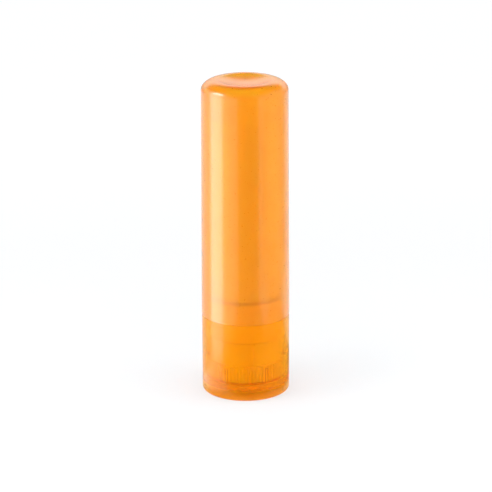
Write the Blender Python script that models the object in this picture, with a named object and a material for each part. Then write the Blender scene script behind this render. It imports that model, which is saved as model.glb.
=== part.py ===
"""A slim twist-up lip balm stick: cap, turning base, barrel, drive screw, carrier and balm.

Metres, +Z up. The origin is the middle of the ring that the stick stands on.
Every piece is round about Z. Turning the base drives the screw, which lifts the carrier and the balm.
"""

import math

import bmesh
import bpy
from mathutils import Matrix, Vector

# Overall sizes
TOTAL_HEIGHT = 0.0693
BASE_RADIUS = 0.0095
BASE_HEIGHT = 0.0172
PARTING_GAP = 0.0002

# Cap
CAP_LIP_PROUD = 0.00005
CAP_TAPER = 0.00027
CAP_WALL = 0.00095
CAP_SHOULDER_WIDTH = 0.0035
CAP_SHOULDER_HEIGHT = 0.0022
CAP_DISH_DEPTH = 0.0008
CAP_TOP_THICKNESS = 0.0013
CAP_INSIDE_CORNER = 0.0009
CAP_LIP_CHAMFER = 0.00015
CAP_BEAD_DEPTH = 0.00015
CAP_BEAD_WIDTH = 0.0008
CAP_BEAD_RISE = 0.0014

# Turning base cup
CUP_WALL = 0.0009
CUP_RECESS_DEPTH = 0.0020
CUP_RECESS_CORNER = 0.0003
CUP_FLOOR = 0.0013
CUP_EDGE_RADIUS = 0.0004
CUP_LIP_CHAMFER = 0.00015
DRIVE_KEY_WIDTH = 0.0005
DRIVE_KEY_HEIGHT = 0.0036
CUP_TAB_HEIGHT = 0.0006
CUP_TAB_WIDTH = 0.0024

# Barrel, whose collar turns in the cup and whose neck takes the cap
BARREL_WALL = 0.0009
COLLAR_DEPTH = 0.0046
NECK_HEIGHT = 0.0045
NECK_BEAD_HEIGHT = 0.00015
NECK_BEAD_WIDTH = 0.0008
NECK_BEAD_DROP = 0.0011
NECK_CHAMFER = 0.0002
BARREL_LIP_CHAMFER = 0.00025
GUIDE_GROOVE_WIDTH = 0.0016
GUIDE_GROOVE_DEPTH = 0.0004
SNAP_BEAD_WIDTH = 0.0007
SNAP_LEAD_IN = 0.0004

# Drive wheel and screw
KNURL_HEIGHT = 0.0036
KNURL_RISE = 0.0002
KNURL_DEPTH = 0.0003
WHEEL_SKIRT_INSET = 0.0009
WHEEL_WALL = 0.0010
WHEEL_TOP_THICKNESS = 0.0012
SNAP_RIM_WIDTH = 0.0007
SNAP_RIM_GRIP = 0.00035
INDEX_RIB_WIDTH = 0.0005
INDEX_RIB_DEPTH = 0.00025
SCREW_CORE_RADIUS = 0.0013
THREAD_DEPTH = 0.0006
THREAD_LEAD = 0.0040
THREAD_CREST_WIDTH = 0.0006
THREAD_ROOT_WIDTH = 0.0012
SCREW_END = 0.0004

# Carrier
CARRIER_HEIGHT = 0.0066
CARRIER_WALL = 0.0008
CARRIER_FLOOR = 0.0012
CARRIER_TOP_INSET = 0.0015
NUT_HEIGHT = 0.0032
NUT_WALL = 0.0010
LUG_HEIGHT = 0.0020

# Balm
BALM_PROUD = 0.0003
BALM_DOME_HEIGHT = 0.0015
BALM_TIP_DEPTH = 0.0005

# Clearances
HEADROOM = 0.0057
SEAT_GAP = 0.0003
TURNING_CLEARANCE = 0.0002
CLICK_CLEARANCE = 0.00005
CAP_TUBE_CLEARANCE = 0.00058
SNAP_RIM_CLEARANCE = 0.00045
KNURL_CLEARANCE = 0.00025
KEY_CLEARANCE = 0.00015
INDEX_RIB_CLEARANCE = 0.00015
CARRIER_CLEARANCE = 0.0002
LUG_CLEARANCE = 0.0002
THREAD_CLEARANCE = 0.00012
BALM_CLEARANCE = 0.00025
BALM_BORE_CLEARANCE = 0.0004

# How far joined and cutting shapes run into or past their piece
OVERRUN = 0.0002
MERGE_DISTANCE = 0.000001

# Counts, angles and shares
ROUND_SIDES = 48
ARC_STEPS = 4
DOME_STEPS = 4
THREAD_STEPS = 16
KNURL_TEETH = 72
DRIVE_KEYS = 6
CUP_TABS = 3
GUIDE_GROOVES = 2
INDEX_RIB_ANGLE = math.radians(-77)
FIRST_TAB_ANGLE = math.radians(-15)
TAB_SPACING = math.radians(105)
SMOOTH_ANGLE = math.radians(35)

# Turns as shares of a step, so that no edge of the teeth, the thread or its rod lies on an edge
# of the wheel or the carrier
KNURL_TURN_SHARE = 0.25
THREAD_TURN_SHARE = 0.25
ROD_TURN_SHARE = 0.5

# Radii that follow from the sizes above
CAP_MOUTH_RADIUS = BASE_RADIUS + CAP_LIP_PROUD
CAP_TOP_RADIUS = CAP_MOUTH_RADIUS - CAP_TAPER
CAP_BEAD_RADIUS = CAP_MOUTH_RADIUS - CAP_WALL - CAP_BEAD_DEPTH
CUP_BORE_RADIUS = BASE_RADIUS - CUP_WALL
COLLAR_RADIUS = CUP_BORE_RADIUS - TURNING_CLEARANCE
NECK_BEAD_RADIUS = CAP_BEAD_RADIUS - CLICK_CLEARANCE
NECK_RADIUS = NECK_BEAD_RADIUS - NECK_BEAD_HEIGHT
TUBE_RADIUS = CAP_TOP_RADIUS - CAP_WALL - CAP_TUBE_CLEARANCE
BARREL_BORE_RADIUS = TUBE_RADIUS - BARREL_WALL
SNAP_RIM_RADIUS = BARREL_BORE_RADIUS - SNAP_RIM_CLEARANCE
SNAP_BEAD_RADIUS = SNAP_RIM_RADIUS - SNAP_RIM_GRIP
WHEEL_NECK_RADIUS = SNAP_BEAD_RADIUS - TURNING_CLEARANCE
WHEEL_SKIRT_RADIUS = CUP_BORE_RADIUS - WHEEL_SKIRT_INSET
KNURL_TIP_RADIUS = CUP_BORE_RADIUS - KNURL_CLEARANCE
KNURL_ROOT_RADIUS = KNURL_TIP_RADIUS - KNURL_DEPTH
KEY_TIP_RADIUS = KNURL_ROOT_RADIUS + KEY_CLEARANCE
INDEX_RIB_RADIUS = WHEEL_SKIRT_RADIUS + INDEX_RIB_DEPTH
CUP_TAB_RADIUS = INDEX_RIB_RADIUS + INDEX_RIB_CLEARANCE
THREAD_RADIUS = SCREW_CORE_RADIUS + THREAD_DEPTH
CARRIER_RADIUS = BARREL_BORE_RADIUS - CARRIER_CLEARANCE
NUT_RADIUS = THREAD_RADIUS + THREAD_CLEARANCE + NUT_WALL
LUG_RADIUS = BARREL_BORE_RADIUS + GUIDE_GROOVE_DEPTH - LUG_CLEARANCE
BALM_RADIUS = BARREL_BORE_RADIUS - BALM_CLEARANCE

# Heights above the ground that follow from the sizes above
CAP_MOUTH_Z = BASE_HEIGHT + PARTING_GAP
CAP_CEILING_Z = TOTAL_HEIGHT - CAP_DISH_DEPTH - CAP_TOP_THICKNESS
WHEEL_Z = CUP_RECESS_DEPTH + CUP_FLOOR + SEAT_GAP
KNURL_Z = WHEEL_Z + KNURL_RISE
KNURL_TOP_Z = KNURL_Z + KNURL_HEIGHT
WHEEL_SHOULDER_Z = BASE_HEIGHT - COLLAR_DEPTH
BARREL_Z = WHEEL_SHOULDER_Z + SEAT_GAP
NECK_TOP_Z = CAP_MOUTH_Z + NECK_HEIGHT
BARREL_TOP_Z = CAP_CEILING_Z - HEADROOM
SNAP_BEAD_TOP_Z = BARREL_Z + SNAP_LEAD_IN + SNAP_BEAD_WIDTH
SNAP_RIM_Z = SNAP_BEAD_TOP_Z + SEAT_GAP
WHEEL_TOP_Z = SNAP_RIM_Z + SNAP_RIM_WIDTH
CARRIER_Z = WHEEL_TOP_Z + SEAT_GAP
LIFT = BARREL_TOP_Z - CARRIER_TOP_INSET - CARRIER_HEIGHT - CARRIER_Z
SCREW_TOP_Z = CARRIER_Z + LIFT + NUT_HEIGHT + SCREW_END
BALM_Z = CARRIER_Z + CARRIER_FLOOR + SEAT_GAP
BALM_TOP_Z = BARREL_TOP_Z + BALM_PROUD


def clear_scene():
    for item in list(bpy.data.objects):
        bpy.data.objects.remove(item, do_unlink=True)


def plastic(name, colour, roughness, transmission):
    material = bpy.data.materials.new(name)
    material.use_nodes = True
    shader = material.node_tree.nodes["Principled BSDF"]
    shader.inputs["Base Color"].default_value = (*colour, 1)
    shader.inputs["Roughness"].default_value = roughness
    shader.inputs["Metallic"].default_value = 0
    shader.inputs["Transmission Weight"].default_value = transmission
    material.diffuse_color = (*colour, 1)
    return material


def object_from(name, bm):
    """Closes the mesh, turns its faces outwards and makes the object, smooth between its sharp edges."""
    bmesh.ops.remove_doubles(bm, verts=bm.verts, dist=MERGE_DISTANCE)
    bmesh.ops.recalc_face_normals(bm, faces=bm.faces)
    mesh = bpy.data.meshes.new(name)
    bm.to_mesh(mesh)
    bm.free()
    mesh.shade_smooth()
    mesh.set_sharp_from_angle(angle=SMOOTH_ANGLE)
    item = bpy.data.objects.new(name, mesh)
    bpy.context.scene.collection.objects.link(item)
    return item


def helper(item):
    """Marks a shape that only cuts another or joins it."""
    item.hide_render = True
    item.display_type = "WIRE"
    return item


def joined(item, other):
    modifier = item.modifiers.new("join " + other.name, "BOOLEAN")
    modifier.operation = "UNION"
    modifier.solver = "EXACT"
    modifier.object = helper(other)


def cut(item, other):
    modifier = item.modifiers.new("cut " + other.name, "BOOLEAN")
    modifier.operation = "DIFFERENCE"
    modifier.solver = "EXACT"
    modifier.object = helper(other)


def arc(centre_r, centre_z, radius, start_degrees, end_degrees, height=None):
    """Points of a round corner in the profile plane, both ends included. An oval one has its own height."""
    rise = radius if height is None else height
    points = []
    for step in range(ARC_STEPS + 1):
        degrees = start_degrees + (end_degrees - start_degrees) * step / ARC_STEPS
        angle = math.radians(degrees)
        points.append((centre_r + radius * math.cos(angle), centre_z + rise * math.sin(angle)))
    return points


def bowl(rim_radius, rim_z, rise):
    """Points of a shallow curve from its rim to the axis, the rim left out. A negative rise is a dish."""
    points = []
    for step in range(1, DOME_STEPS + 1):
        share = 1 - step / DOME_STEPS
        points.append((rim_radius * share, rim_z + rise * (1 - share * share)))
    return points


def turned(name, profile, closed=False):
    """Spins a profile of radius and height round Z. An open profile starts and ends on the axis."""
    bm = bmesh.new()
    verts = [bm.verts.new((radius, 0, height)) for radius, height in profile]
    ends = verts[1:] + verts[:1] if closed else verts[1:]
    edges = [bm.edges.new(pair) for pair in zip(verts, ends)]
    bmesh.ops.spin(
        bm,
        geom=verts + edges,
        cent=(0, 0, 0),
        axis=(0, 0, 1),
        angle=math.tau,
        steps=ROUND_SIDES,
        use_merge=True,
    )
    return object_from(name, bm)


def radial_bar(name, inner, outer, width, bottom, top, angle):
    """A block that points away from the axis, from one radius to another."""
    bm = bmesh.new()
    size = Matrix.Diagonal((outer - inner, width, top - bottom, 1))
    place = Matrix.Translation(((inner + outer) / 2, 0, (bottom + top) / 2))
    bmesh.ops.create_cube(bm, size=1, matrix=Matrix.Rotation(angle, 4, "Z") @ place @ size)
    return object_from(name, bm)


def rod(name, radius, bottom, top):
    turn = Matrix.Rotation(math.tau * ROD_TURN_SHARE / THREAD_STEPS, 4, "Z")
    bm = bmesh.new()
    bmesh.ops.create_cone(
        bm,
        cap_ends=True,
        segments=THREAD_STEPS,
        radius1=radius,
        radius2=radius,
        depth=top - bottom,
        matrix=Matrix.Translation((0, 0, (bottom + top) / 2)) @ turn,
    )
    return object_from(name, bm)


def thread_ridge(name, bottom, top, clearance):
    """The left-hand ridge of the screw. Its turns keep the same places whatever stretch of it is made."""
    rise = THREAD_LEAD / THREAD_STEPS
    first = math.ceil((bottom - WHEEL_TOP_Z) / rise)
    last = math.floor((top - WHEEL_TOP_Z) / rise)
    root = THREAD_ROOT_WIDTH / 2 + clearance
    crest = THREAD_CREST_WIDTH / 2 + clearance
    inner = SCREW_CORE_RADIUS - OVERRUN
    outer = THREAD_RADIUS + clearance
    slope = (root - crest) / THREAD_DEPTH
    base = root + slope * OVERRUN
    section = ((inner, -base), (outer, -crest), (outer, crest), (inner, base))
    bm = bmesh.new()
    rings = []
    for step in range(first, last + 1):
        angle = -math.tau * (step + THREAD_TURN_SHARE) / THREAD_STEPS
        height = WHEEL_TOP_Z + rise * step
        ring = []
        for radius, offset in section:
            place = (radius * math.cos(angle), radius * math.sin(angle), height + offset)
            ring.append(bm.verts.new(place))
        rings.append(ring)
    for below, above in zip(rings, rings[1:]):
        for corner in range(len(section)):
            after = (corner + 1) % len(section)
            bm.faces.new((below[corner], below[after], above[after], above[corner]))
    bm.faces.new(rings[0])
    bm.faces.new(rings[-1])
    return object_from(name, bm)


def knurl_angle(tooth):
    return math.tau * (tooth + KNURL_TURN_SHARE) / KNURL_TEETH


def knurl_ring(name):
    """A straight-knurled ring. A tooth is left out wherever a drive key of the cup takes its place."""
    inside = WHEEL_SKIRT_RADIUS - WHEEL_WALL / 2
    gap_every = KNURL_TEETH // DRIVE_KEYS
    bm = bmesh.new()
    loops = []
    for step in range(2 * KNURL_TEETH):
        tooth = step // 2
        angle = knurl_angle(tooth) + (step % 2) * math.pi / KNURL_TEETH
        at_tip = step % 2 == 0 and tooth % gap_every != 0
        outside = KNURL_TIP_RADIUS if at_tip else KNURL_ROOT_RADIUS
        corners = (
            (inside, KNURL_Z),
            (outside, KNURL_Z),
            (outside, KNURL_TOP_Z),
            (inside, KNURL_TOP_Z),
        )
        loops.append(
            [bm.verts.new((radius * math.cos(angle), radius * math.sin(angle), z)) for radius, z in corners]
        )
    for here, after in zip(loops, loops[1:] + loops[:1]):
        for corner in range(4):
            following = (corner + 1) % 4
            bm.faces.new((here[corner], here[following], after[following], after[corner]))
    return object_from(name, bm)


def make_cap():
    shoulder_z = TOTAL_HEIGHT - CAP_SHOULDER_HEIGHT
    crest_radius = CAP_TOP_RADIUS - CAP_SHOULDER_WIDTH
    outside = bowl(crest_radius, TOTAL_HEIGHT, -CAP_DISH_DEPTH)[::-1]
    outside += arc(crest_radius, shoulder_z, CAP_SHOULDER_WIDTH, 90, 0, CAP_SHOULDER_HEIGHT)
    outside.append((CAP_MOUTH_RADIUS, CAP_MOUTH_Z + CAP_LIP_CHAMFER))
    outside.append((CAP_MOUTH_RADIUS - CAP_LIP_CHAMFER, CAP_MOUTH_Z))
    bore = CAP_MOUTH_RADIUS - CAP_WALL
    bead_z = CAP_MOUTH_Z + CAP_BEAD_RISE
    inside = [
        (bore, CAP_MOUTH_Z),
        (bore, bead_z),
        (CAP_BEAD_RADIUS, bead_z + CAP_BEAD_DEPTH),
        (CAP_BEAD_RADIUS, bead_z + CAP_BEAD_WIDTH - CAP_BEAD_DEPTH),
        (bore, bead_z + CAP_BEAD_WIDTH),
    ]
    corner_r = CAP_TOP_RADIUS - CAP_WALL - CAP_INSIDE_CORNER
    inside += arc(corner_r, CAP_CEILING_Z - CAP_INSIDE_CORNER, CAP_INSIDE_CORNER, 0, 90)
    inside.append((0, CAP_CEILING_Z))
    return turned("cap", outside + inside)


def snap_tab(name, angle):
    """Keeps the knurled wheel in the cup. Its top slopes down from the wall, to let the wheel pass."""
    bottom = KNURL_TOP_Z + SEAT_GAP
    top = bottom + CUP_TAB_HEIGHT
    outer = CUP_BORE_RADIUS + OVERRUN
    section = (
        (CUP_TAB_RADIUS, bottom),
        (outer, bottom),
        (outer, top + outer - CUP_TAB_RADIUS),
        (CUP_TAB_RADIUS, top),
    )
    bm = bmesh.new()
    turn = Matrix.Rotation(angle, 4, "Z")
    sides = []
    for offset in (-CUP_TAB_WIDTH / 2, CUP_TAB_WIDTH / 2):
        sides.append([bm.verts.new(turn @ Vector((radius, offset, height))) for radius, height in section])
    left, right = sides
    for corner in range(len(section)):
        after = (corner + 1) % len(section)
        bm.faces.new((left[corner], left[after], right[after], right[corner]))
    bm.faces.new(left)
    bm.faces.new(right)
    return object_from(name, bm)


def make_base_cup():
    floor_top = CUP_RECESS_DEPTH + CUP_FLOOR
    profile = [
        (0, CUP_RECESS_DEPTH),
        (CUP_BORE_RADIUS - CUP_RECESS_CORNER, CUP_RECESS_DEPTH),
        (CUP_BORE_RADIUS, CUP_RECESS_DEPTH - CUP_RECESS_CORNER),
        (CUP_BORE_RADIUS, 0),
    ]
    profile += arc(BASE_RADIUS - CUP_EDGE_RADIUS, CUP_EDGE_RADIUS, CUP_EDGE_RADIUS, -90, 0)
    profile += [
        (BASE_RADIUS, BASE_HEIGHT - CUP_LIP_CHAMFER),
        (BASE_RADIUS - CUP_LIP_CHAMFER, BASE_HEIGHT),
        (CUP_BORE_RADIUS, BASE_HEIGHT),
        (CUP_BORE_RADIUS, floor_top),
        (0, floor_top),
    ]
    cup = turned("base_cup", profile)
    for key in range(DRIVE_KEYS):
        angle = knurl_angle(key * KNURL_TEETH // DRIVE_KEYS)
        outer = CUP_BORE_RADIUS + OVERRUN
        bottom = floor_top - OVERRUN
        top = floor_top + DRIVE_KEY_HEIGHT
        name = f"drive_key_{key + 1}"
        joined(cup, radial_bar(name, KEY_TIP_RADIUS, outer, DRIVE_KEY_WIDTH, bottom, top, angle))
    for tab in range(CUP_TABS):
        angle = FIRST_TAB_ANGLE + TAB_SPACING * tab
        joined(cup, snap_tab(f"snap_tab_{tab + 1}", angle))
    return cup


def make_barrel():
    bead_top = NECK_TOP_Z - NECK_BEAD_DROP
    bead_bottom = bead_top - NECK_BEAD_WIDTH
    outside = [
        (SNAP_BEAD_RADIUS + SNAP_LEAD_IN, BARREL_Z),
        (COLLAR_RADIUS, BARREL_Z),
        (COLLAR_RADIUS, BASE_HEIGHT),
        (NECK_RADIUS, CAP_MOUTH_Z),
        (NECK_RADIUS, bead_bottom),
        (NECK_BEAD_RADIUS, bead_bottom + NECK_BEAD_HEIGHT),
        (NECK_BEAD_RADIUS, bead_top - NECK_BEAD_HEIGHT),
        (NECK_RADIUS, bead_top),
        (NECK_RADIUS, NECK_TOP_Z - NECK_CHAMFER),
        (NECK_RADIUS - NECK_CHAMFER, NECK_TOP_Z),
        (TUBE_RADIUS, NECK_TOP_Z),
        (TUBE_RADIUS, BARREL_TOP_Z - BARREL_LIP_CHAMFER),
        (TUBE_RADIUS - BARREL_LIP_CHAMFER, BARREL_TOP_Z),
    ]
    inside = [
        (BARREL_BORE_RADIUS, BARREL_TOP_Z),
        (BARREL_BORE_RADIUS, SNAP_BEAD_TOP_Z),
        (SNAP_BEAD_RADIUS, SNAP_BEAD_TOP_Z),
        (SNAP_BEAD_RADIUS, BARREL_Z + SNAP_LEAD_IN),
    ]
    barrel = turned("barrel", outside + inside, closed=True)
    groove_top = CARRIER_Z + LUG_HEIGHT + LIFT + SEAT_GAP
    groove_radius = BARREL_BORE_RADIUS + GUIDE_GROOVE_DEPTH
    inner = SNAP_BEAD_RADIUS - OVERRUN
    bottom = BARREL_Z - OVERRUN
    for groove in range(GUIDE_GROOVES):
        angle = math.tau * groove / GUIDE_GROOVES
        name = f"guide_groove_{groove + 1}"
        cut(barrel, radial_bar(name, inner, groove_radius, GUIDE_GROOVE_WIDTH, bottom, groove_top, angle))
    return barrel


def make_drive_spindle():
    skirt_inside = WHEEL_SKIRT_RADIUS - WHEEL_WALL
    neck_inside = WHEEL_NECK_RADIUS - WHEEL_WALL
    plate_z = WHEEL_TOP_Z - WHEEL_TOP_THICKNESS
    profile = [
        (0, plate_z),
        (neck_inside, plate_z),
        (neck_inside, WHEEL_SHOULDER_Z - WHEEL_WALL),
        (skirt_inside, WHEEL_SHOULDER_Z - WHEEL_WALL),
        (skirt_inside, WHEEL_Z),
        (WHEEL_SKIRT_RADIUS, WHEEL_Z),
        (WHEEL_SKIRT_RADIUS, WHEEL_SHOULDER_Z),
        (WHEEL_NECK_RADIUS, WHEEL_SHOULDER_Z),
        (WHEEL_NECK_RADIUS, SNAP_RIM_Z),
        (SNAP_RIM_RADIUS, SNAP_RIM_Z),
        (WHEEL_NECK_RADIUS, WHEEL_TOP_Z),
        (0, WHEEL_TOP_Z),
    ]
    spindle = turned("drive_spindle", profile)
    joined(spindle, knurl_ring("wheel_knurl"))
    rib_inner = WHEEL_SKIRT_RADIUS - OVERRUN
    bottom = KNURL_TOP_Z - OVERRUN
    top = WHEEL_SHOULDER_Z - OVERRUN
    rib_size = (rib_inner, INDEX_RIB_RADIUS, INDEX_RIB_WIDTH, bottom, top)
    joined(spindle, radial_bar("index_rib", *rib_size, INDEX_RIB_ANGLE))
    joined(spindle, rod("screw_core", SCREW_CORE_RADIUS, WHEEL_TOP_Z - OVERRUN, SCREW_TOP_Z))
    joined(spindle, thread_ridge("screw_thread", WHEEL_TOP_Z, SCREW_TOP_Z - THREAD_ROOT_WIDTH, 0))
    return spindle


def make_carrier():
    inside = CARRIER_RADIUS - CARRIER_WALL
    profile = [
        (0, CARRIER_Z),
        (CARRIER_RADIUS, CARRIER_Z),
        (CARRIER_RADIUS, CARRIER_Z + CARRIER_HEIGHT),
        (inside, CARRIER_Z + CARRIER_HEIGHT),
        (inside, CARRIER_Z + CARRIER_FLOOR),
        (NUT_RADIUS, CARRIER_Z + CARRIER_FLOOR),
        (NUT_RADIUS, CARRIER_Z + NUT_HEIGHT),
        (0, CARRIER_Z + NUT_HEIGHT),
    ]
    carrier = turned("carrier", profile)
    for lug in range(GUIDE_GROOVES):
        angle = math.tau * lug / GUIDE_GROOVES
        width = GUIDE_GROOVE_WIDTH - 2 * LUG_CLEARANCE
        bottom = CARRIER_Z + LUG_CLEARANCE
        name = f"guide_lug_{lug + 1}"
        inner = CARRIER_RADIUS - CARRIER_WALL / 2
        joined(carrier, radial_bar(name, inner, LUG_RADIUS, width, bottom, CARRIER_Z + LUG_HEIGHT, angle))
    bottom = CARRIER_Z - THREAD_ROOT_WIDTH - OVERRUN
    top = CARRIER_Z + NUT_HEIGHT + THREAD_ROOT_WIDTH + OVERRUN
    cut(carrier, rod("nut_bore", SCREW_CORE_RADIUS + THREAD_CLEARANCE, bottom, top))
    cut(carrier, thread_ridge("nut_thread", bottom, top, THREAD_CLEARANCE))
    return carrier


def make_balm():
    shoulder_z = CARRIER_Z + CARRIER_HEIGHT + SEAT_GAP
    stub_radius = CARRIER_RADIUS - CARRIER_WALL - BALM_CLEARANCE
    boss_radius = NUT_RADIUS + BALM_CLEARANCE
    boss_z = CARRIER_Z + NUT_HEIGHT + SEAT_GAP
    bore_radius = THREAD_RADIUS + BALM_BORE_CLEARANCE
    bore_top = SCREW_TOP_Z + BALM_TIP_DEPTH
    edge_z = BALM_TOP_Z - BALM_DOME_HEIGHT
    profile = bowl(BALM_RADIUS, edge_z, BALM_DOME_HEIGHT)[::-1]
    profile += [
        (BALM_RADIUS, edge_z),
        (BALM_RADIUS, shoulder_z),
        (stub_radius, shoulder_z),
        (stub_radius, BALM_Z),
        (boss_radius, BALM_Z),
        (boss_radius, boss_z),
        (bore_radius, boss_z),
        (bore_radius, bore_top),
        (0, bore_top),
    ]
    return turned("balm", profile)


def joint_frame(name, parent=None):
    """An empty on a joint's axis, which carries what moves with that joint."""
    empty = bpy.data.objects.new(name, None)
    bpy.context.scene.collection.objects.link(empty)
    empty.parent = parent
    return empty


def fasten(items, frame):
    for item in items:
        item.parent = frame


def main():
    clear_scene()
    barrel = make_barrel()
    cup = make_base_cup()
    spindle = make_drive_spindle()
    carrier = make_carrier()
    balm = make_balm()
    cap = make_cap()

    cap.data.materials.append(plastic("frosted orange cap", (0.95, 0.38, 0.06), 0.32, 0.6))
    cup.data.materials.append(plastic("clear orange base", (1.0, 0.26, 0.01), 0.18, 0.6))
    barrel.data.materials.append(plastic("natural white barrel", (0.93, 0.80, 0.66), 0.35, 0.3))
    spindle.data.materials.append(plastic("natural white drive", (0.90, 0.76, 0.60), 0.40, 0.2))
    carrier.data.materials.append(plastic("natural white carrier", (0.90, 0.78, 0.64), 0.40, 0.2))
    balm.data.materials.append(plastic("cream balm", (0.95, 0.83, 0.60), 0.45, 0.0))

    root = joint_frame("stick")
    turning = joint_frame("base_turn_axis", root)
    lifting = joint_frame("balm_lift_axis", root)
    pulling = joint_frame("cap_pull_axis", lifting)
    fasten([barrel], root)
    fasten([cup, spindle], turning)
    fasten([carrier, balm], lifting)
    fasten([cap], pulling)


main()
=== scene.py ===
import math

import bpy
from mathutils import Matrix, Vector


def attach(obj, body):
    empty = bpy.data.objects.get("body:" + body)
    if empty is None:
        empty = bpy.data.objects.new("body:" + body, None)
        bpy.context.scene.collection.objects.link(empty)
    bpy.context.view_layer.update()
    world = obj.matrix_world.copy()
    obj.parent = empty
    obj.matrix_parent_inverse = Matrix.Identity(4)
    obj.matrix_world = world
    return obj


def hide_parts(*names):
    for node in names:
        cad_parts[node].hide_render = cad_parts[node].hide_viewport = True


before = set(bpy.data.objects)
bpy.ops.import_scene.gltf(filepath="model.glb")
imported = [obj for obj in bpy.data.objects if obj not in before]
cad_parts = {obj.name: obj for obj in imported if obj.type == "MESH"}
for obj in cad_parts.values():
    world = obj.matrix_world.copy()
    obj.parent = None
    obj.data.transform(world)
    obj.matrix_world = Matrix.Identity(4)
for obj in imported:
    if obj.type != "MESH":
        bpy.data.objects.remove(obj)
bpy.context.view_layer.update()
scene = bpy.context.scene

# the stick is round and its pieces are turned with the same sides; the drive wheel has twice as many
roundSides = 144
# points this close are one point, and flatter edges than this are shaded smooth
samePoint = 0.000001
smoothAngle = math.radians(32)
# a ring this far from an edge, or from a bead or a small round, keeps the plain wall's shading even
edgeGap = 0.0003
beadGap = 0.0002


def pickNothing():
    if bpy.context.mode != "OBJECT":
        bpy.ops.object.mode_set(mode="OBJECT")
    bpy.ops.object.select_all(action="DESELECT")


def pickOnly(piece):
    pickNothing()
    piece.select_set(True)
    bpy.context.view_layer.objects.active = piece


def settle(piece):
    # the place goes into the mesh, and the object goes to the origin
    pickOnly(piece)
    bpy.ops.object.transform_apply(location=True, rotation=True, scale=True)


def corner(middle, size, start, end, steps):
    # points of a round corner, from one angle to another, both ends included
    points = []
    for step in range(steps + 1):
        angle = math.radians(start + (end - start) * step / steps)
        points.append((middle[0] + size[0] * math.cos(angle), middle[1] + size[1] * math.sin(angle)))
    return points


def wall(low, high, rings):
    # points along a plain wall, its far end left out; the rings between keep the shading even
    return [(low[0] + (high[0] - low[0]) * step / rings, low[1] + (high[1] - low[1]) * step / rings)
            for step in range(rings)]


def turnedBlank(name, profile, sides=roundSides, bored=False, halfTurn=False):
    # a disc, or an open ring for a piece that is bored through, drawn out along its radii and heights
    pickNothing()
    bpy.ops.mesh.primitive_circle_add(
        vertices=sides, radius=profile[0][0], fill_type="NOTHING" if bored else "TRIFAN",
        location=(0, 0, profile[0][1]), rotation=(0, 0, math.pi / sides if halfTurn else 0))
    piece = bpy.context.object
    piece.name = name
    piece.data.name = name
    bpy.ops.object.mode_set(mode="EDIT")
    bpy.ops.mesh.select_all(action="SELECT")
    ends = profile[1:] + (profile[:1] if bored else [])
    for (oldRadius, oldHeight), (radius, height) in zip(profile, ends):
        bpy.ops.mesh.extrude_region_move(TRANSFORM_OT_translate={"value": (0, 0, height - oldHeight)})
        grown = radius / oldRadius
        bpy.ops.transform.resize(value=(grown, grown, 1), center_override=(0, 0, height))
    bpy.ops.mesh.select_all(action="SELECT")
    bpy.ops.mesh.remove_doubles(threshold=samePoint)
    bpy.ops.mesh.normals_make_consistent(inside=False)
    bpy.ops.object.mode_set(mode="OBJECT")
    settle(piece)
    return piece


def raiseFaces(piece, wanted, taper, rise):
    # each patch of wanted faces comes out as one tooth or rib, narrower at its top
    pickOnly(piece)
    bpy.ops.object.mode_set(mode="EDIT")
    bpy.ops.mesh.select_mode(type="FACE")
    bpy.ops.mesh.select_all(action="DESELECT")
    bpy.ops.object.mode_set(mode="OBJECT")
    for face in piece.data.polygons:
        face.select = wanted(face)
    bpy.ops.object.mode_set(mode="EDIT")
    bpy.ops.mesh.inset(thickness=taper, depth=rise)
    bpy.ops.mesh.select_mode(type="VERT")
    bpy.ops.mesh.select_all(action="DESELECT")
    bpy.ops.object.mode_set(mode="OBJECT")


def finishShape(piece):
    pickOnly(piece)
    bpy.ops.object.shade_smooth_by_angle(angle=smoothAngle)


def meet(piece, other, operation):
    # joins the other shape to the piece or cuts it away, and clears it off the bench
    pickOnly(piece)
    fit = piece.modifiers.new("fit", "BOOLEAN")
    fit.operation = operation
    fit.solver = "EXACT"
    fit.object = other
    bpy.ops.object.modifier_apply(modifier=fit.name)
    bpy.data.objects.remove(other, do_unlink=True)


def radialBlock(name, inner, outer, width, bottom, top, edge, slope=0):
    # a block with soft edges that points away from the axis along X, and may rise towards its outer end
    middle = ((inner + outer) / 2, 0, (bottom + top) / 2)
    pickNothing()
    bpy.ops.mesh.primitive_cube_add(size=1, location=middle)
    block = bpy.context.object
    block.name = name
    bpy.ops.object.mode_set(mode="EDIT")
    bpy.ops.mesh.select_all(action="SELECT")
    bpy.ops.transform.resize(value=(outer - inner, width, top - bottom), center_override=middle)
    bpy.ops.object.mode_set(mode="OBJECT")
    settle(block)
    for point in block.data.vertices:
        point.select = point.co.x > middle[0] and point.co.z > middle[2]
    bpy.ops.object.mode_set(mode="EDIT")
    bpy.ops.transform.translate(value=(0, 0, slope))
    bpy.ops.mesh.select_all(action="SELECT")
    bpy.ops.mesh.bevel(offset=edge, segments=2, affect="EDGES")
    bpy.ops.object.mode_set(mode="OBJECT")
    return block


def meetAround(piece, block, angles, operation):
    # a copy of the block at each angle round the axis, in degrees
    for angle in angles:
        other = block.copy()
        other.data = block.data.copy()
        scene.collection.objects.link(other)
        other.data.transform(Matrix.Rotation(math.radians(angle), 4, "Z"))
        meet(piece, other, operation)
    bpy.data.objects.remove(block, do_unlink=True)


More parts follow.
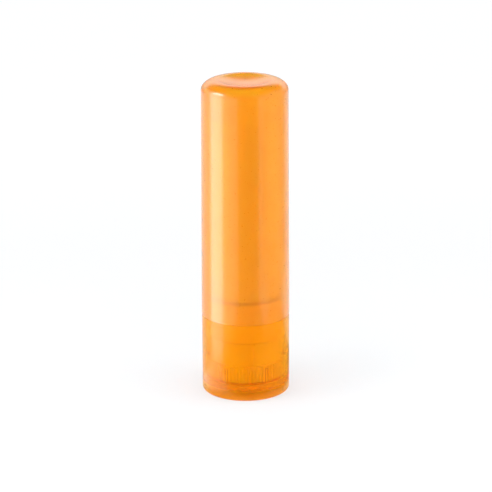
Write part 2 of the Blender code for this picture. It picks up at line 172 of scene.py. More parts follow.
def threadRidge(name, bottom, top, clearance):
    # the left-hand ridge of the screw, which also cuts the nut; its foot is sunk into the rod
    turns = (top - bottom) / screwSizes["lead"]
    inner = screwSizes["core"] - screwSizes["rootSink"]
    outer = screwSizes["thread"] + clearance
    middle = ((inner + outer) / 2, 0, bottom)
    pickNothing()
    bpy.ops.mesh.primitive_plane_add(size=1, location=middle, rotation=(math.pi / 2, 0, 0))
    ridge = bpy.context.object
    ridge.name = name
    settle(ridge)
    bpy.ops.object.mode_set(mode="EDIT")
    bpy.ops.mesh.select_all(action="SELECT")
    root = screwSizes["rootWidth"] + 2 * clearance + screwSizes["rootSink"]
    crest = screwSizes["crestWidth"] + 2 * clearance
    bpy.ops.transform.resize(value=(outer - inner, 1, root), center_override=middle)
    bpy.ops.object.mode_set(mode="OBJECT")
    for point in ridge.data.vertices:
        point.select = point.co.x > middle[0]
    bpy.ops.object.mode_set(mode="EDIT")
    bpy.ops.transform.resize(value=(1, 1, crest / root), center_override=(outer, 0, bottom))
    bpy.ops.object.mode_set(mode="OBJECT")
    winding = ridge.modifiers.new("winding", "SCREW")
    winding.axis = "Z"
    winding.iterations = 1
    winding.angle = -math.tau * turns
    winding.screw_offset = top - bottom
    winding.steps = winding.render_steps = round(screwSizes["stepsPerTurn"] * turns)
    winding.use_smooth_shade = False
    winding.use_merge_vertices = False
    bpy.ops.object.modifier_apply(modifier=winding.name)
    bpy.ops.object.mode_set(mode="EDIT")
    bpy.ops.mesh.select_all(action="SELECT")
    bpy.ops.mesh.remove_doubles(threshold=samePoint)
    bpy.ops.mesh.select_all(action="DESELECT")
    bpy.ops.mesh.select_non_manifold()
    bpy.ops.mesh.fill_holes(sides=0)
    bpy.ops.mesh.select_all(action="SELECT")
    bpy.ops.mesh.normals_make_consistent(inside=False)
    bpy.ops.object.mode_set(mode="OBJECT")
    # half a step back, so that no corner of the ridge lies on a corner of the rod
    halfStep = math.pi / screwSizes["stepsPerTurn"]
    start = -math.tau * (bottom - screwSizes["startHeight"]) / screwSizes["lead"] - halfStep
    ridge.data.transform(Matrix.Rotation(start, 4, "Z"))
    return ridge


def facing(face):
    # the angle round the axis at which a face sits, in degrees from 0 to 360
    return math.degrees(math.atan2(face.center.y, face.center.x)) % 360


def onBand(face, radius, low, high, slack=0.0001):
    # an upright face between two heights; its middle lies a little inside the circle of its corners
    outside = math.hypot(face.center.x, face.center.y) > radius - slack
    return outside and low < face.center.z < high and abs(face.normal.z) < 0.5


# materials: one maker for the plastics and one for the wax
def newMaterial(name):
    material = bpy.data.materials.new(name)
    material.use_nodes = True
    tree = material.node_tree
    return material, tree, tree.nodes["Principled BSDF"]


def bareMaterial(name):
    # one with no shader yet
    material, tree, shader = newMaterial(name)
    tree.nodes.remove(shader)
    return material, tree


def addNode(tree, kind, x, y, **values):
    node = tree.nodes.new(kind)
    node.location = (x, y)
    for name, value in values.items():
        setattr(node, name, value)
    return node


def maths(tree, operation, x, y, *values):
    # each value is a number or comes from another node
    node = addNode(tree, "ShaderNodeMath", x, y, operation=operation)
    for place, value in zip(node.inputs, values):
        if isinstance(value, float):
            place.default_value = value
        else:
            tree.links.new(value, place)
    return node.outputs[0]


def mixShaders(tree, share, x, y, first, second, output):
    node = addNode(tree, "ShaderNodeMixShader", x, y)
    for place, value in zip(node.inputs, (share, first, second)):
        tree.links.new(value, place)
    tree.links.new(node.outputs[0], tree.nodes[output].inputs["Surface"])


def noise(tree, vector, x, y, scale, detail=3, rough=0.5):
    node = addNode(tree, "ShaderNodeTexNoise", x, y)
    node.inputs["Scale"].default_value = scale
    node.inputs["Detail"].default_value = detail
    node.inputs["Roughness"].default_value = rough
    tree.links.new(vector, node.inputs["Vector"])
    return node.outputs["Fac"]


def spread(tree, value, x, y, low, high, fromLow=0.3, fromHigh=0.7):
    node = addNode(tree, "ShaderNodeMapRange", x, y)
    for name, number in zip(("From Min", "From Max", "To Min", "To Max"), (fromLow, fromHigh, low, high)):
        node.inputs[name].default_value = number
    tree.links.new(value, node.inputs["Value"])
    return node.outputs["Result"]


def stretched(tree, vector, x, y, scale):
    node = addNode(tree, "ShaderNodeMapping", x, y)
    node.inputs["Scale"].default_value = scale
    tree.links.new(vector, node.inputs["Vector"])
    return node.outputs["Vector"]


def mixColour(tree, share, x, y, first, second):
    # the first colour is fixed or comes from another node
    node = addNode(tree, "ShaderNodeMix", x, y, data_type="RGBA")
    if isinstance(first, tuple):
        node.inputs["A"].default_value = (*first, 1)
    else:
        tree.links.new(first, node.inputs["A"])
    node.inputs["B"].default_value = (*second, 1)
    tree.links.new(share, node.inputs["Factor"])
    return node.outputs["Result"]


def rampByHeight(tree, height, x, y, stops, span):
    # a value from 0 to 1 that follows the height above the ground
    ramp = addNode(tree, "ShaderNodeValToRGB", x, y)
    share = spread(tree, height, x - 200, y, 0, 1, 0, span)
    tree.links.new(share, ramp.inputs["Fac"])
    points = ramp.color_ramp.elements
    while len(points) < len(stops):
        points.new(1)
    for point, (at, value) in zip(points, stops):
        point.position = at / span
        point.color = (value, value, value, 1)
    return ramp.outputs["Color"]


def roughAndBumpy(tree, shader, finish, texture, relief):
    # the texture varies the roughness, and the relief raises the surface
    rough = spread(tree, texture, -680, -80, finish["roughness"] - finish["roughVaries"],
                   finish["roughness"] + finish["roughVaries"])
    tree.links.new(rough, shader.inputs["Roughness"])
    bump = addNode(tree, "ShaderNodeBump", -420, -320)
    bump.inputs["Strength"].default_value = finish["bumpStrength"]
    bump.inputs["Distance"].default_value = finish["bumpHeight"]
    tree.links.new(relief, bump.inputs["Height"])
    tree.links.new(bump.outputs["Normal"], shader.inputs["Normal"])


def milkyNeckWithPaintedLight(tree, shader, height, colour, finish):
    # below a height the plastic is milkier, with a painted warmer tint that stands in for light held in the
    # thick neck, and painted shade lines at the neck's edges
    neck = rampByHeight(tree, height, -900, 900, finish["neck"], finish["neckSpan"])
    edges = rampByHeight(tree, height, -900, 650, finish["edges"], finish["neckSpan"])
    clear = spread(tree, neck, -500, 750, finish["seeThrough"], finish["neckSeeThrough"], 0, 1)
    tree.links.new(clear, shader.inputs["Transmission Weight"])
    # painted light: the neck's warmer tint stands in for light held in the thick plastic
    colour = mixColour(tree, neck, -300, 500, colour, finish["neckPaintedWarmth"])
    # painted shade: darker lines at the neck's top ledge and at its bead
    return mixColour(tree, edges, -200, 500, colour, finish["paintedEdgeShade"])


def tintedPlastic(name, finish):
    material, tree, shader = newMaterial(name)
    place = addNode(tree, "ShaderNodeTexCoord", -1500, 0).outputs["Object"]
    # the pigment is a little uneven, in clouds and in long streaks along the flow of the mould
    clouds = noise(tree, place, -1100, 300, finish["cloudScale"])
    flow = noise(tree, stretched(tree, place, -1300, 60, flowStretch), -1100, 60, finish["flowScale"])
    both = maths(tree, "ADD", -880, 180, clouds, flow)
    share = spread(tree, both, -680, 180, 0, 1, fromLow=0.7, fromHigh=1.3)
    colour = mixColour(tree, share, -460, 260, finish["thinColour"], finish["deepColour"])
    if "neck" in finish:
        split = addNode(tree, "ShaderNodeSeparateXYZ", -1300, 700)
        tree.links.new(place, split.inputs[0])
        colour = milkyNeckWithPaintedLight(tree, shader, split.outputs["Z"], colour, finish)
    tree.links.new(colour, shader.inputs["Base Color"])
    # the etched or polished skin of the mould
    skin = noise(tree, place, -1100, -200, finish["skinScale"], detail=4, rough=0.6)
    relief = maths(tree, "MULTIPLY_ADD", -680, -320, flow, finish["flowRelief"], skin)
    roughAndBumpy(tree, shader, finish, skin, relief)
    shader.inputs["Transmission Weight"].default_value = finish["seeThrough"]
    shader.inputs["IOR"].default_value = finish["ior"]
    shader.inputs["Specular IOR Level"].default_value = finish["gloss"]
    shader.inputs["Coat Weight"].default_value = finish["coat"]
    shader.inputs["Coat Roughness"].default_value = finish["coatRoughness"]
    if "depthColour" in finish:
        # the rest of the tint is in the depth of the wall, so thick places are deeper in colour
        depth = addNode(tree, "ShaderNodeVolumeAbsorption", 100, -320)
        depth.inputs["Color"].default_value = (*finish["depthColour"], 1)
        depth.inputs["Density"].default_value = finish["depthDensity"]
        tree.links.new(depth.outputs["Volume"], tree.nodes["Material Output"].inputs["Volume"])
    return material


flowStretch = (1, 1, 0.06)
capFinish = {
    "thinColour": (1.0, 0.66, 0.045), "deepColour": (0.995, 0.61, 0.03),
    "depthColour": (0.9999, 0.972, 0.03), "depthDensity": 2400,
    "cloudScale": 160, "flowScale": 420, "skinScale": 2600,
    "roughness": 0.30, "roughVaries": 0.03, "flowRelief": 0.5,
    "bumpStrength": 0.2, "bumpHeight": 0.000008,
    "seeThrough": 0.88, "ior": 1.49, "gloss": 0.5, "coat": 0.5, "coatRoughness": 0.16,
}
cupFinish = {
    "thinColour": (1.0, 0.63, 0.004), "deepColour": (1.0, 0.58, 0.003),
    "depthColour": (1.0, 0.985, 0.02), "depthDensity": 2900,
    "cloudScale": 160, "flowScale": 420, "skinScale": 1800,
    "roughness": 0.24, "roughVaries": 0.03, "flowRelief": 0.8,
    "bumpStrength": 0.15, "bumpHeight": 0.000004,
    "seeThrough": 0.90, "ior": 1.34, "gloss": 0.32, "coat": 0.03, "coatRoughness": 0.25,
}
naturalFinish = {
    "thinColour": (0.985, 0.91, 0.76), "deepColour": (0.975, 0.88, 0.70),
    "cloudScale": 200, "flowScale": 500, "skinScale": 2200,
    "roughness": 0.24, "roughVaries": 0.04, "flowRelief": 0.6,
    "bumpStrength": 0.2, "bumpHeight": 0.000006,
    "seeThrough": 0.18, "ior": 1.49, "gloss": 0.5, "coat": 0, "coatRoughness": 0.03,
}
# the barrel's thick neck and collar are milkier and carry a painted warmer tint for the light held in them,
# with painted shade lines at the neck's top and bead; each stop is a height and how much of the colour there
# is
barrelFinish = {
    **naturalFinish, "neckSpan": 0.03,
    # painted light: a warmer tint on the neck for the light held in the thick plastic
    "neckPaintedWarmth": (1.0, 0.85, 0.58), "neckSeeThrough": 0.12, "neck": ((0.0, 1), (0.0219, 1), (0.02196, 0)),
    # painted shade: the colour of the dark lines at the neck's top and bead
    "paintedEdgeShade": (0.62, 0.38, 0.16),
    "edges": ((0.0, 0), (0.0199, 0), (0.0200, 0.5), (0.0202, 0),
              (0.02155, 0), (0.0216, 1), (0.02192, 1), (0.02196, 0)),
}
waxFinish = {
    "light": (0.96, 0.86, 0.62), "dark": (0.93, 0.79, 0.52), "cloudScale": 220, "grainScale": 1500,
    "roughness": 0.42, "roughVaries": 0.08, "bumpStrength": 0.35, "bumpHeight": 0.00006,
    "scatter": 0.5, "scatterDepth": 0.0012, "scatterColour": (1, 0.7, 0.35),
}


def waxMaterial(name, finish):
    material, tree, shader = newMaterial(name)
    place = addNode(tree, "ShaderNodeTexCoord", -1500, 0).outputs["Object"]
    clouds = noise(tree, place, -1100, 300, finish["cloudScale"], detail=4)
    share = spread(tree, clouds, -880, 300, 0, 1)
    colour = mixColour(tree, share, -600, 300, finish["light"], finish["dark"])
    tree.links.new(colour, shader.inputs["Base Color"])
    grain = noise(tree, place, -1100, -100, finish["grainScale"], detail=5, rough=0.6)
    roughAndBumpy(tree, shader, finish, grain, grain)
    shader.inputs["Subsurface Weight"].default_value = finish["scatter"]
    shader.inputs["Subsurface Radius"].default_value = finish["scatterColour"]
    shader.inputs["Subsurface Scale"].default_value = finish["scatterDepth"]
    return material


frostedOrange = tintedPlastic("frostedOrange", capFinish)
clearOrange = tintedPlastic("clearOrange", cupFinish)
naturalPlastic = tintedPlastic("naturalPlastic", naturalFinish)
barrelPlastic = tintedPlastic("barrelPlastic", barrelFinish)
creamWax = waxMaterial("creamWax", waxFinish)


def finishPiece(piece, material, body, node):
    piece.data.materials.clear()
    piece.data.materials.append(material)
    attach(piece, body)
    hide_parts(node)
    print("made", piece.name, len(piece.data.polygons), "faces")


# cap: a slightly tapered pull-off shell with a wide shoulder and a shallow dish on top
capSizes = {
    "mouthHeight": 0.01732, "height": 0.0693, "mouthRadius": 0.00955, "topRadius": 0.00928,
    "shoulderWidth": 0.0035, "shoulderHeight": 0.0022,
    "dishDepth": 0.0008, "dishPower": 1.08, "dishRings": 19,
    "thickness": 0.00095, "topThickness": 0.0013, "insideWidth": 0.0026, "insideHeight": 0.0016,
    "ceilingRise": 0.0006, "ceilingRings": 8, "lipRound": 0.00004, "lipTaper": 0.000001,
    "beadDepth": 0.00015, "beadWidth": 0.0008, "beadRise": 0.0014,
}


def makeCap(size):
    mouth, height = size["mouthHeight"], size["height"]
    ceiling = height - size["dishDepth"] - size["topThickness"]
    innerTop = size["topRadius"] - size["thickness"]
    bore = size["mouthRadius"] - size["thickness"]
    # the ceiling rises towards the shoulder, whose wall keeps about the same thickness
    ridge = innerTop - size["insideWidth"]
    rise, rings = size["ceilingRise"], size["ceilingRings"]
    profile = [(ridge * step / rings, ceiling + rise * (step / rings) ** 2) for step in range(1, rings)]
    innerFoot = ceiling + rise - size["insideHeight"]
    profile += corner((ridge, innerFoot), (size["insideWidth"], size["insideHeight"]), 90, 0, 10)
    # the click bead stands inside the mouth
    beadLow = mouth + size["beadRise"]
    beadHigh = beadLow + size["beadWidth"]
    deep = size["beadDepth"]
    profile += wall((innerTop, innerFoot - edgeGap), (bore, beadHigh + beadGap), 12)
    lip = size["lipRound"]
    profile += [(bore, beadHigh + beadGap), (bore, beadHigh), (bore - deep, beadHigh - deep),
                (bore - deep, beadLow + deep), (bore, beadLow), (bore, beadLow - beadGap),
                (bore, mouth + beadGap), (bore, mouth), (bore + lip, mouth)]
    profile += corner((size["mouthRadius"] - lip, mouth + lip), (lip, lip), -90, 0, 4)
    shoulderFoot = height - size["shoulderHeight"]
    profile += wall((size["mouthRadius"] - size["lipTaper"], mouth + lip + edgeGap),
                    (size["topRadius"], shoulderFoot - edgeGap), 14)
    profile.append((size["topRadius"], shoulderFoot - edgeGap))
    crest = size["topRadius"] - size["shoulderWidth"]
    profile += corner((crest, shoulderFoot), (size["shoulderWidth"], size["shoulderHeight"]), 0, 90, 18)
    # the dish starts with a small round over the crest and runs to a flat spot at the middle
    for step in range(1, size["dishRings"]):
        share = 1 - step / size["dishRings"]
        profile.append((crest * share, height - size["dishDepth"] * (1 - share * share) ** size["dishPower"]))
    piece = turnedBlank("capShell", profile)
    finishShape(piece)
    return piece


# turning cup: the polished base with a recessed floor, six drive keys and three snap tabs
cupSizes = {
    "radius": 0.0095, "height": 0.0173, "thickness": 0.0009, "recess": 0.0020, "recessRound": 0.0003,
    "floor": 0.0013, "floorRound": 0.0002, "edgeRound": 0.0004, "lipRound": 0.00004, "chamfer": 0.0001,
    "keys": 6, "keyInner": 0.0082, "keyWidth": 0.0005, "keyTop": 0.0069, "keyEdge": 0.00006, "firstKey": 1.25,
    "tabInner": 0.0081, "tabWidth": 0.0024, "tabLow": 0.0077, "tabTop": 0.0083, "tabEdge": 0.00008,
    "tabAngles": (-15, 90, 195), "overlap": 0.0003,
}


def makeCup(size):
    radius, height, recess, cut = size["radius"], size["height"], size["recess"], size["chamfer"]
    bore = radius - size["thickness"]
    turn = size["recessRound"]
    profile = corner((bore - turn, recess - turn), (turn, turn), 90, 0, 6)
    profile += [(bore, recess - turn - edgeGap), (bore, edgeGap), (bore, cut), (bore + cut, 0)]
    edge = size["edgeRound"]
    profile += corner((radius - edge, edge), (edge, edge), -90, 0, 8)
    lip = size["lipRound"]
    profile += wall((radius, edge + edgeGap), (radius, height - lip - edgeGap), 6)
    profile.append((radius, height - lip - edgeGap))
    profile += corner((radius - lip, height - lip), (lip, lip), 0, 90, 4)
    profile += [(bore + cut, height), (bore, height - cut)]
    floorTop = recess + size["floor"]
    foot = size["floorRound"]
    profile += wall((bore, height - cut - edgeGap), (bore, floorTop + foot + edgeGap), 6)
    profile.append((bore, floorTop + foot + edgeGap))
    profile += corner((bore - foot, floorTop + foot), (foot, foot), 0, -90, 4)
    piece = turnedBlank("turningCup", profile)
    sunk = size["overlap"]
    key = radialBlock("driveKey", size["keyInner"], bore + sunk, size["keyWidth"],
                      floorTop - sunk, size["keyTop"], size["keyEdge"])
    keyAngles = [size["firstKey"] + 360 * number / size["keys"] for number in range(size["keys"])]
    meetAround(piece, key, keyAngles, "UNION")
    # the tabs keep the knurled wheel down; their tops slope, so that it can be pushed past them
    tab = radialBlock("snapTab", size["tabInner"], bore + sunk, size["tabWidth"], size["tabLow"],
                      size["tabTop"], size["tabEdge"], slope=bore + sunk - size["tabInner"])
    meetAround(piece, tab, size["tabAngles"], "UNION")
    finishShape(piece)
    return piece


# barrel: the tube that holds the balm, its neck for the cap and its collar in the cup
barrelSizes = {
    "low": 0.0129, "collarRadius": 0.0084, "collarTop": 0.0172, "collarRound": 0.0001,
    "neckRadius": 0.00825, "neckLow": 0.0174, "neckTop": 0.0219, "neckRound": 0.0002,
    "neckBead": 0.0084, "beadLow": 0.0200, "beadHigh": 0.0208,
    "tubeRadius": 0.00775, "tubeTaper": 0.00001, "high": 0.0615, "lipRound": 0.00025, "bore": 0.00685,
    "snapBead": 0.00605, "snapHigh": 0.0140, "leadIn": 0.0004,
    "grooveInner": 0.00575, "grooveRadius": 0.00725, "grooveWidth": 0.0016, "grooveLow": 0.0124,
    "grooveTop": 0.0557, "grooveEdge": 0.0001,
}


def makeBarrel(size):
    low, high, collar, neck = size["low"], size["high"], size["collarRadius"], size["neckRadius"]
    tube, bore, snap, lead = size["tubeRadius"], size["bore"], size["snapBead"], size["leadIn"]
    bead, beadLow, beadHigh = size["neckBead"], size["beadLow"], size["beadHigh"]
    turn = size["collarRound"]
    profile = [(snap + lead, low), (collar - 2 * turn, low)]
    profile += corner((collar - turn, low + turn), (turn, turn), -90, 0, 3)
    profile += [(collar, low + turn + edgeGap), (collar, size["collarTop"] - edgeGap),
                (collar, size["collarTop"]), (neck, size["neckLow"]), (neck, size["neckLow"] + edgeGap),
                (neck, beadLow - beadGap), (neck, beadLow), (bead, beadLow + (bead - neck)),
                (bead, beadHigh - (bead - neck)), (neck, beadHigh), (neck, beadHigh + beadGap)]
    turn = size["neckRound"]
    profile += corner((neck - turn, size["neckTop"] - turn), (turn, turn), 0, 90, 5)
    profile.append((tube + size["tubeTaper"], size["neckTop"]))
    profile += wall((tube, size["neckTop"] + edgeGap), (tube, high - 2 * edgeGap), 12)
    lip = size["lipRound"]
    profile.append((tube, high - 2 * edgeGap))
    profile += corner((tube - lip, high - lip), (lip, lip), 0, 90, 5)
    profile += corner((bore + lip, high - lip), (lip, lip), 90, 180, 5)
    profile += wall((bore, high - 2 * edgeGap), (bore, size["snapHigh"] + edgeGap), 12)
    profile += [(bore, size["snapHigh"] + edgeGap), (bore, size["snapHigh"]), (snap, size["snapHigh"]),
                (snap, low + lead)]
    piece = turnedBlank("barrelTube", profile, bored=True, halfTurn=True)
    groove = radialBlock("guideGroove", size["grooveInner"], size["grooveRadius"], size["grooveWidth"],
                         size["grooveLow"], size["grooveTop"], size["grooveEdge"])
    meetAround(piece, groove, (180, 0), "DIFFERENCE")
    finishShape(piece)
    return piece


# drive wheel and screw, in one piece: the knurled ring turns with the cup and the screw lifts the carrier
screwSizes = {
    "low": 0.0036, "skirt": 0.0077, "skirtInside": 0.0067, "shoulder": 0.0126, "roof": 0.0116,
    "neck": 0.00585, "neckInside": 0.00485, "plateLow": 0.0138, "rimLow": 0.0143, "rim": 0.0064,
    "top": 0.0150, "chamfer": 0.0001,
    "knurlLow": 0.0038, "knurlHigh": 0.0074, "knurlRoot": 0.00805,
    "toothHeight": 0.0003, "toothTaper": 0.00007, "toothPitch": 5, "teethPerKey": 12,
    "ribAngle": 283.125, "ribHalfAngle": 1.9, "ribTop": 0.0124, "ribHeight": 0.00025, "ribTaper": 0.00005,
    "core": 0.0013, "coreRound": 0.0002, "coreTop": 0.0570, "tipWidth": 0.0002, "tipHeight": 0.0003,
    "thread": 0.0019, "lead": 0.0040, "startHeight": 0.0150, "crestWidth": 0.0006, "rootWidth": 0.0012,
    "rootSink": 0.0002, "stepsPerTurn": 32, "sides": 2 * roundSides,
}


def makeWheel(size):
    skirt, inside, neck, core = size["skirt"], size["skirtInside"], size["neck"], size["core"]
    low, roof, shoulder, top, cut = size["low"], size["roof"], size["shoulder"], size["top"], size["chamfer"]
    root, knurlLow, knurlHigh = size["knurlRoot"], size["knurlLow"], size["knurlHigh"]
    profile = [(size["neckInside"], size["plateLow"]), (size["neckInside"], roof + cut),
               (size["neckInside"] + cut, roof), (inside - cut, roof), (inside, roof - cut),
               (inside, low + cut), (inside + cut, low), (skirt - cut, low), (skirt, low + cut),
               (skirt, knurlLow), (root, knurlLow), (root, knurlHigh), (skirt, knurlHigh),
               (skirt, size["ribTop"]), (skirt, shoulder - cut), (skirt - cut, shoulder),
               (neck + cut, shoulder), (neck, shoulder + cut), (neck, size["rimLow"]),
               (size["rim"], size["rimLow"]), (neck, top)]
    foot = size["coreRound"]
    profile.append((core + foot + cut, top))
    profile += corner((core + foot, top + foot), (-foot, -foot), 90, 0, 3)
    tipFoot = size["coreTop"] - size["tipHeight"]
    profile += wall((core, top + 2 * foot), (core, tipFoot), 10)
    profile += [(core, tipFoot), (core - size["tipWidth"], size["coreTop"])]
    piece = turnedBlank("driveWheel", profile, sides=size["sides"])

    def isTooth(face):
        # a tooth is missing at each key of the cup
        tooth, across = divmod(facing(face), size["toothPitch"])
        wanted = across < size["toothPitch"] / 2 and tooth % size["teethPerKey"] != 0
        return wanted and onBand(face, root, knurlLow, knurlHigh)

    def isRib(face):
        wanted = abs(facing(face) - size["ribAngle"]) < size["ribHalfAngle"]
        return wanted and onBand(face, skirt, knurlHigh, size["ribTop"])

    raiseFaces(piece, isTooth, size["toothTaper"], size["toothHeight"])
    raiseFaces(piece, isRib, size["ribTaper"], size["ribHeight"])
    meet(piece, threadRidge("screwThread", top, size["coreTop"] - size["rootWidth"], 0), "UNION")
    finishShape(piece)
    return piece


# carrier: the small cup that grips the balm's foot and runs on the screw
carrierSizes = {
    "low": 0.0153, "height": 0.0066, "radius": 0.00665, "thickness": 0.0008, "floor": 0.0012,
    "chamfer": 0.0001, "footChamfer": 0.00015, "fillet": 0.0002, "leadWidth": 0.00025, "leadHeight": 0.0004,
    "nutRadius": 0.00302, "nutHeight": 0.0032, "clearance": 0.00012, "drillSides": 48, "drillOverrun": 0.0014,
    "lugInner": 0.00615, "lugRadius": 0.00705, "lugWidth": 0.0012, "lugLow": 0.0155, "lugTop": 0.0173,
    "lugEdge": 0.0001,
}


def makeCarrier(size):
    low, top = size["low"], size["low"] + size["height"]
    radius, nut, cut, fillet = size["radius"], size["nutRadius"], size["chamfer"], size["fillet"]
    inside = radius - size["thickness"]
    floor = low + size["floor"]
    nutTop = low + size["nutHeight"]
    foot, lead = size["footChamfer"], size["leadHeight"]
    profile = [(radius - foot, low), (radius, low + foot), (radius, low + lead), (radius, top - lead),
               (radius, top - cut), (radius - cut, top), (inside + size["leadWidth"], top),
               (inside, top - lead), (inside, floor + fillet), (inside - fillet, floor),
               (nut + fillet, floor), (nut, floor + fillet), (nut, nutTop - cut), (nut - cut, nutTop)]
    piece = turnedBlank("carrierCup", profile, halfTurn=True)
    lug = radialBlock("guideLug", size["lugInner"], size["lugRadius"], size["lugWidth"],
                      size["lugLow"], size["lugTop"], size["lugEdge"])
    meetAround(piece, lug, (180, 0), "UNION")
    clear = size["clearance"]
    bottom, above = low - size["drillOverrun"], nutTop + size["drillOverrun"]
    bore = screwSizes["core"] + clear
    drill = turnedBlank("nutBore", [(bore, bottom), (bore, above)], sides=size["drillSides"])
    meet(piece, drill, "DIFFERENCE")
    meet(piece, threadRidge("nutThread", bottom, above, clear), "DIFFERENCE")
    finishShape(piece)
    return piece


# balm: a cream wax stick with a domed tip, cast round the nut and the screw
balmSizes = {
    "low": 0.0168, "stubRadius": 0.0056, "shoulder": 0.0222, "radius": 0.0066, "edge": 0.0603,
    "chamfer": 0.0001,
    "nutRoom": 0.00327, "nutRoomTop": 0.0188, "bore": 0.0023, "boreTop": 0.0575,
    "dome": 0.0015, "domePower": 0.8, "domeRings": 20, "dimple": 0.00015, "dimpleRadius": 0.0025,
}


def makeBalm(size):
    radius, shoulder, cut = size["radius"], size["shoulder"], size["chamfer"]
    profile = [(size["bore"], size["boreTop"]), (size["bore"], size["nutRoomTop"]),
               (size["nutRoom"], size["nutRoomTop"]), (size["nutRoom"], size["low"]),
               (size["stubRadius"], size["low"]), (size["stubRadius"], shoulder),
               (radius - cut, shoulder), (radius, shoulder + cut)]
    sideTop = size["edge"] - cut - edgeGap
    profile += wall((radius, shoulder + cut + edgeGap), (radius, sideTop), 10)
    profile.append((radius, sideTop))
    # the tip is a cap of an ellipse that runs into the side, with the small hollow left by cooling
    for step in range(1, size["domeRings"]):
        angle = math.pi / 2 * step / size["domeRings"]
        out = radius * math.cos(angle) ** size["domePower"]
        hollow = size["dimple"] * max(0, 1 - out / size["dimpleRadius"]) ** 2
        profile.append((out, size["edge"] + size["dome"] * math.sin(angle) - hollow))
    piece = turnedBlank("balmStick", profile)
    finishShape(piece)
    return piece


finishPiece(makeCap(capSizes), frostedOrange, "cap_body", "cap")
finishPiece(makeCup(cupSizes), clearOrange, "base_body", "base_cup")
finishPiece(makeBarrel(barrelSizes), barrelPlastic, "barrel_body", "barrel")
finishPiece(makeWheel(screwSizes), naturalPlastic, "base_body", "drive_spindle")
finishPiece(makeCarrier(carrierSizes), naturalPlastic, "balm_body", "carrier")
finishPiece(makeBalm(balmSizes), creamWax, "balm_body", "balm")

# studio: a white floor in a white room, with lamps, glow panels and dark flags round the stick
studio = {
    "floorRadius": 2.0, "floorColour": (0.88, 0.90, 0.915), "nearCoolerGlow": (0.945, 0.995, 1.03),
    "tintReach": (0.02, 0.07), "nearGlow": 0.97, "farGlow": 1.17, "glowReach": (0.03, 0.18),
    "noGlowReach": 0.0085, "glowShare": 0.48,
    "roomLight": 0.95, "background": 1.0,
}
# gloss alone sees the lamps and the flags, and all but gloss sees the glow panels
# each stands at an angle from the camera's side, away from the stick, and upright unless it is lying
lamps = {
    "leftShine": {"azimuth": -71.5, "away": 0.032, "size": (0.0205, 0.088), "low": 0.0005, "level": 3.6},
    "topShine": {"azimuth": -74, "away": 0.032, "size": (0.016, 0.012), "low": 0.081, "level": 11},
    "lowShine": {"azimuth": -70, "away": 0.026, "size": (0.018, 0.030), "low": 0.0004, "level": 1.3,
                 "lying": True},
    "backShine": {"azimuth": 180, "away": 0.300, "size": (0.50, 0.090), "low": 0.138, "level": 0.45},
}
glowPanels = {
    "leftFill": {"azimuth": -70, "away": 0.090, "size": (0.070, 0.13), "low": 0.001, "level": 3.1},
    "lowFill": {"azimuth": 8, "away": 0.075, "size": (0.070, 0.020), "low": 0.001, "level": 1.1},
    "rightFill": {"azimuth": 82, "away": 0.090, "size": (0.066, 0.13), "low": 0.001, "level": 2.6},
}
flags = {
    "frontFlag": {"azimuth": 8, "away": 0.080, "size": (0.080, 0.16), "low": 0.001, "shade": 0.004},
    "rightFlag": {"azimuth": 82, "away": 0.070, "size": (0.110, 0.16), "low": 0.001, "shade": 0.45},
    "topFlag": {"azimuth": 0, "away": 0.015, "size": (0.280, 0.370), "low": 0.162, "shade": 0.004,
                "lying": True},
    "floorFlag": {"azimuth": 8, "away": 0.045, "size": (0.066, 0.068), "low": 0.0002, "shade": 0.004,
                  "lying": True},
    "sideFlag": {"azimuth": 80, "away": 0.045, "size": (0.052, 0.068), "low": 0.0003, "shade": 0.2,
                 "lying": True},
    "backFlag": {"azimuth": 180, "away": 0.300, "size": (0.9, 0.120), "low": 0.001, "shade": 0.6},
}


def besideStick(panel):
    # the middle of a panel and its turn towards the stick, by the angle from the camera's side
    angle = math.radians(panel["azimuth"])
    rise = 0 if panel.get("lying") else panel["size"][1] / 2
    middle = Vector((math.sin(angle) * panel["away"], -math.cos(angle) * panel["away"], panel["low"] + rise))
    if panel.get("lying"):
        return middle, (0, 0, angle)
    return middle, Vector((-middle.x, -middle.y, 0)).to_track_quat("-Z", "Y").to_euler()


def seenDirectly(tree, x, y):
    # 1 for the camera, for gloss and for what is seen through the plastic
    path = addNode(tree, "ShaderNodeLightPath", x, y).outputs
    straight = maths(tree, "MAXIMUM", x + 200, y, path["Is Camera Ray"], path["Is Glossy Ray"])
    return maths(tree, "MAXIMUM", x + 400, y, straight, path["Is Transmission Ray"])


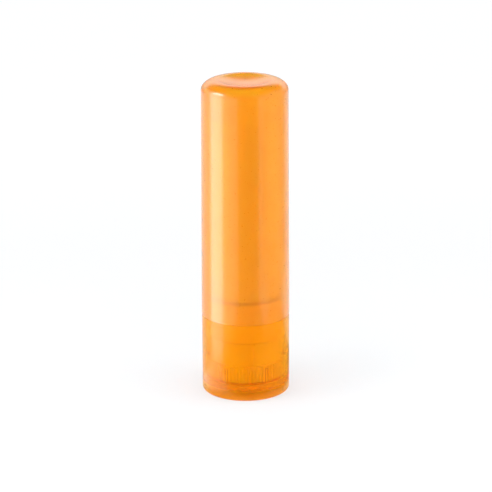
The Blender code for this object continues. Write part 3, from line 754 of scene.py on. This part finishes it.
def makeFloor(size):
    pickNothing()
    bpy.ops.mesh.primitive_circle_add(vertices=96, radius=size["floorRadius"], fill_type="NGON")
    floor = bpy.context.object
    floor.name = "floor"
    material, tree = bareMaterial("paleFloor")
    plain = addNode(tree, "ShaderNodeBsdfDiffuse", 0, 200)
    plain.inputs["Color"].default_value = (*size["floorColour"], 1)
    glow = addNode(tree, "ShaderNodeEmission", 0, 0)
    # the lamps light the floor near the stick, so it glows more far away; near by, its glow is painted cooler
    # against the warm light the orange stick throws on it
    place = addNode(tree, "ShaderNodeTexCoord", -1100, 100).outputs["Object"]
    length = addNode(tree, "ShaderNodeVectorMath", -900, 100, operation="LENGTH")
    tree.links.new(place, length.inputs[0])
    away = length.outputs["Value"]
    level = spread(tree, away, -400, 0, size["nearGlow"], size["farGlow"], *size["glowReach"])
    tree.links.new(level, glow.inputs["Strength"])
    far = spread(tree, away, -600, -250, 0, 1, *size["tintReach"])
    # painted light: the cooler glow near the stick cancels the stick's warm light on the floor
    tree.links.new(mixColour(tree, far, -300, -250, size["nearCoolerGlow"], (1, 1, 1)), glow.inputs["Color"])
    # the glow is part of what is seen, but there is none of it under the stick
    clear = maths(tree, "GREATER_THAN", -700, 250, away, size["noGlowReach"])
    lit = maths(tree, "MULTIPLY", -300, 400, seenDirectly(tree, -1100, 500), clear)
    share = maths(tree, "MULTIPLY", -100, 400, lit, size["glowShare"])
    mixShaders(tree, share, 250, 200, plain.outputs[0], glow.outputs[0], "Material Output")
    # rays meet the glow but aren't aimed at it, so the flags hold it back in full
    material.cycles.emission_sampling = "NONE"
    floor.data.materials.append(material)


def makeRoom(size):
    # what is seen directly is white, and the light from all round is a little weaker
    world = bpy.data.worlds.new("room")
    scene.world = world
    world.use_nodes = True
    world.cycles.sampling_method = "NONE"
    tree = world.node_tree
    soft = tree.nodes["Background"]
    soft.inputs["Color"].default_value = (1, 1, 1, 1)
    soft.inputs["Strength"].default_value = size["roomLight"]
    white = addNode(tree, "ShaderNodeBackground", 0, -200)
    white.inputs["Strength"].default_value = size["background"]
    white.inputs["Color"].default_value = (1, 1, 1, 1)
    seen = seenDirectly(tree, -700, 400)
    mixShaders(tree, seen, 250, 200, soft.outputs[0], white.outputs[0], "World Output")


def makeLamp(name, lamp):
    pickNothing()
    place, turn = besideStick(lamp)
    if lamp.get("lying"):
        turn = (math.pi, 0, turn[2])
    bpy.ops.object.light_add(type="AREA", location=place, rotation=turn)
    light = bpy.context.object
    light.name = name
    light.data.shape = "RECTANGLE"
    light.data.size, light.data.size_y = lamp["size"]
    # the level is how bright it looks, so the power grows with the size
    light.data.energy = lamp["level"] * math.pi * lamp["size"][0] * lamp["size"][1]
    light.visible_camera = light.visible_diffuse = light.visible_transmission = False


def makePanel(name, size, seenByGloss):
    pickNothing()
    place, turn = besideStick(size)
    bpy.ops.mesh.primitive_plane_add(size=1, location=place, rotation=turn)
    panel = bpy.context.object
    panel.name = name
    panel.scale = (size["size"][0], size["size"][1], 1)
    settle(panel)
    panel.visible_camera = panel.visible_shadow = False
    panel.visible_glossy = seenByGloss
    panel.visible_diffuse = panel.visible_transmission = not seenByGloss
    return panel


def makeGlowPanel(name, size):
    # shines towards the stick alone, and rays meet it without being aimed at it
    panel = makePanel(name, size, False)
    material, tree = bareMaterial(name + "Light")
    light = addNode(tree, "ShaderNodeEmission", 0, 0)
    light.inputs["Strength"].default_value = size["level"]
    # the face that looks away from the stick is clear, and the other one shines
    back = addNode(tree, "ShaderNodeBsdfTransparent", 0, -200)
    side = addNode(tree, "ShaderNodeNewGeometry", 0, 300)
    mixShaders(tree, side.outputs["Backfacing"], 250, 0, back.outputs[0], light.outputs[0], "Material Output")
    material.cycles.emission_sampling = "NONE"
    panel.data.materials.append(material)


def makeFlag(name, size):
    # only gloss sees it, so the front of the stick shows no white of the room and the floor
    panel = makePanel(name, size, True)
    material, tree, shader = newMaterial(name + "Cloth")
    shader.inputs["Base Color"].default_value = (size["shade"], size["shade"], size["shade"], 1)
    shader.inputs["Roughness"].default_value = 1
    shader.inputs["Specular IOR Level"].default_value = 0
    panel.data.materials.append(material)


view = {
    "place": (0, -0.47553, 0.1885), "aim": (0.00014, 0, 0.03229), "lean": -0.00387,
    "lens": 169.58, "sensor": 36, "nearest": 0.01,
}


def makeCamera(size):
    pickNothing()
    bpy.ops.object.camera_add(location=size["place"])
    camera = bpy.context.object
    camera.name = "camera"
    turn = (Vector(size["aim"]) - Vector(size["place"])).to_track_quat("-Z", "Y").to_matrix()
    camera.rotation_euler = (turn @ Matrix.Rotation(size["lean"], 3, "Z")).to_euler()
    camera.data.lens = size["lens"]
    camera.data.sensor_width = size["sensor"]
    camera.data.clip_start = size["nearest"]
    scene.camera = camera


makeFloor(studio)
makeRoom(studio)
for name, lamp in lamps.items():
    makeLamp(name, lamp)
for name, size in glowPanels.items():
    makeGlowPanel(name, size)
for name, size in flags.items():
    makeFlag(name, size)
makeCamera(view)
scene.view_settings.view_transform = "Standard"
# the light that comes through the plastic isn't filtered out, and has enough bounces in the walls
scene.cycles.blur_glossy = 0
scene.cycles.max_bounces = 24
scene.cycles.transmission_bounces = 20
scene.cycles.glossy_bounces = 12
scene.cycles.diffuse_bounces = 8
print("studio and camera are set")
